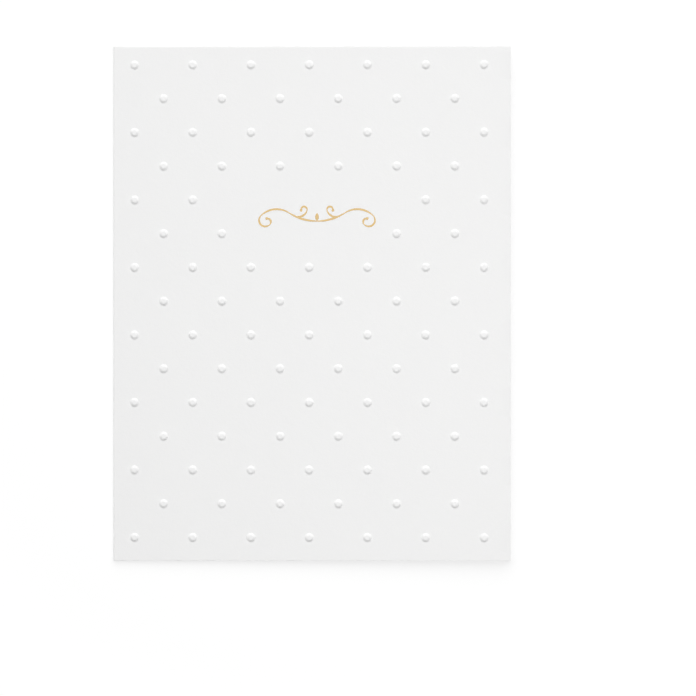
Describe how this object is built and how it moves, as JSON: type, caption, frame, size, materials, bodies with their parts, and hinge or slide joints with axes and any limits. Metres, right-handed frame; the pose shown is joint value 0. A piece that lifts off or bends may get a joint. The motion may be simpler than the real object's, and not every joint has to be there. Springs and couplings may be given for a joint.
{
  "type": "greeting card",
  "caption": "Closed side-folded greeting card of thick white cotton paper, with staggered blind-embossed dots and a small gold foil flourish on its front.",
  "frame": {"origin": "under the middle of the closed card, on the surface that its back panel lies on", "axes": "+X across the card from the fold to the free edges, +Y up the page, +Z out of the front panel, away from the surface"},
  "size_m": [0.108, 0.1396, 0.0032],
  "materials": {
    "cotton_paper": "uncoated cotton paper, soft white, with a fine felt tooth",
    "gold_foil": "satin gold foil, stamped flat"
  },
  "bodies": {
    "root": {"card": "cotton_paper", "foil_flourish": "gold_foil"}
  },
  "joints": []
}
